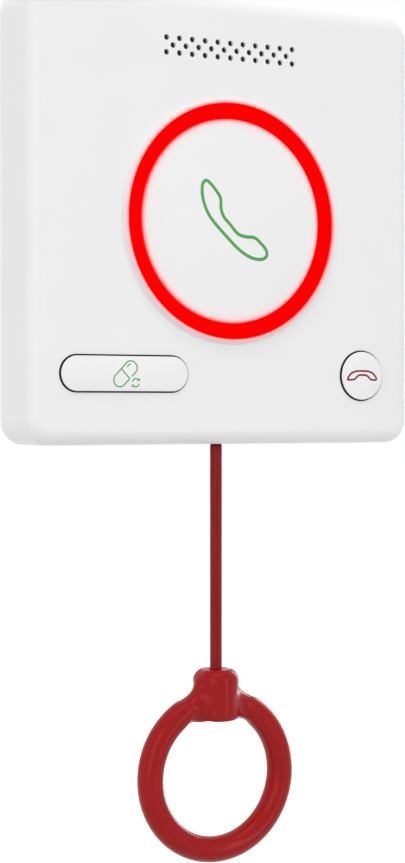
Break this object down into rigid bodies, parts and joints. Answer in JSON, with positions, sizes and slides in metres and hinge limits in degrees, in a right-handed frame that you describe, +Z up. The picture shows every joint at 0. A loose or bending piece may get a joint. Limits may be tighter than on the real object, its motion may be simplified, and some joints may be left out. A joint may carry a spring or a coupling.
{
  "type": "medical call button",
  "caption": "Wall call panel with a large lit call button, two small buttons, sound holes and a pull cord that ends in a ring handle.",
  "frame": {"origin": "centre of the panel on the wall, at the back face of the wall plate", "axes": "+Y into the wall, so the front faces -Y; +X to the right seen from the front; +Z up"},
  "size_m": [0.125, 0.022, 0.2474],
  "materials": {
    "white_plastic": "satin moulded, fine texture",
    "cap_plastic": "satin moulded, smoother than the cover",
    "plate_plastic": "matt moulded",
    "grey_plastic": "slippery moulded",
    "lit_ring": "lit from behind, even red",
    "red_plastic": "semi-gloss moulded",
    "cord": "smooth sheath, semi-gloss",
    "steel": "plated",
    "brass": "plain",
    "board": "solder-masked",
    "lamp": "clear resin",
    "dark_rubber": "matt",
    "dark_plastic": "matt moulded",
    "cloth": "fine weave",
    "cell_sleeve": "printed sleeve without words"
  },
  "bodies": {
    "wall_mount": {"wall_plate": "plate_plastic"},
    "housing": {"front_cover": "white_plastic", "rear_cover": "white_plastic", "cover_seal": "dark_rubber", "cover_screws": "steel", "light_ring": "lit_ring", "ring_carrier": "white_plastic", "circuit_board": "board", "board_screws": "steel", "ring_leds": "lamp", "controller_chip": "dark_plastic", "radio_module": "steel", "antenna": "brass", "call_springs": "steel", "call_switch": "dark_plastic", "reminder_switch": "dark_plastic", "hangup_switch": "dark_plastic", "button_seals": "dark_rubber", "speaker_frame": "dark_plastic", "speaker_cone": "cloth", "speaker_magnet": "steel", "speaker_gasket": "dark_rubber", "speaker_contacts": "brass", "grille_mesh": "cloth", "microphone": "steel", "microphone_boot": "dark_rubber", "battery_cells": "cell_sleeve", "battery_contacts": "steel", "battery_springs": "steel", "slider_guide": "grey_plastic", "guide_screws": "steel", "pull_spring": "steel", "pull_switch": "dark_plastic", "cord_bush": "red_plastic"},
    "call_button": {"call_cap": "cap_plastic", "call_plunger": "steel"},
    "reminder_button": {"reminder_cap": "cap_plastic", "reminder_collar": "dark_rubber", "reminder_plunger": "steel"},
    "hangup_button": {"hangup_cap": "cap_plastic", "hangup_collar": "dark_rubber", "hangup_plunger": "steel"},
    "battery_door": {"battery_door": "white_plastic"},
    "pull_slider": {"pull_slider": "grey_plastic", "inner_cord": "cord", "cord_ferrule": "steel"},
    "switch_plunger": {"pull_plunger": "brass"},
    "cord_neck": {"cord_neck": "cord"},
    "cord": {"pull_cord": "cord", "cord_knot": "cord"},
    "ring": {"pull_ring": "red_plastic"}
  },
  "joints": [
    {"name": "unit_lift", "type": "slide", "parent": "wall_mount", "child": "housing", "axis": [0, 0, 1], "range_m": [0, 0.006]},
    {"name": "call_press", "type": "slide", "parent": "housing", "child": "call_button", "axis": [0, 1, 0], "range_m": [0, 0.0008], "stiffness_N_per_m": 4000, "springref_m": -0.0008, "deforming": ["call_springs"]},
    {"name": "reminder_press", "type": "slide", "parent": "housing", "child": "reminder_button", "axis": [0, 1, 0], "range_m": [0, 0.0005], "stiffness_N_per_m": 3000, "springref_m": -0.0003},
    {"name": "hangup_press", "type": "slide", "parent": "housing", "child": "hangup_button", "axis": [0, 1, 0], "range_m": [0, 0.0005], "stiffness_N_per_m": 3000, "springref_m": -0.0003},
    {"name": "door_slide", "type": "slide", "parent": "housing", "child": "battery_door", "axis": [0, 0, -1], "range_m": [0, 0.004]},
    {"name": "cord_pull", "type": "slide", "parent": "housing", "child": "pull_slider", "axis": [0, 0, -1], "range_m": [0, 0.005], "stiffness_N_per_m": 1500, "springref_m": -0.002, "deforming": ["pull_spring"]},
    {"name": "switch_push", "type": "slide", "parent": "housing", "child": "switch_plunger", "axis": [1, 0, 0], "range_m": [0, 0.001]},
    {"name": "cord_side_swing", "type": "hinge", "parent": "pull_slider", "child": "cord_neck", "pos_m": [0, -0.0117, -0.0643], "axis": [0, 1, 0], "range_deg": [-30, 30]},
    {"name": "cord_out_swing", "type": "hinge", "parent": "cord_neck", "child": "cord", "pos_m": [0, -0.0117, -0.0643], "axis": [-1, 0, 0], "range_deg": [-3.5, 45]},
    {"name": "ring_swivel", "type": "hinge", "parent": "cord", "child": "ring", "pos_m": [0, -0.0117, -0.137], "axis": [0, 0, 1], "range_deg": [-21, 21]}
  ],
  "couplings": [
    {"joint": "switch_push", "follows": "cord_pull", "ratio": 0.2}
  ]
}
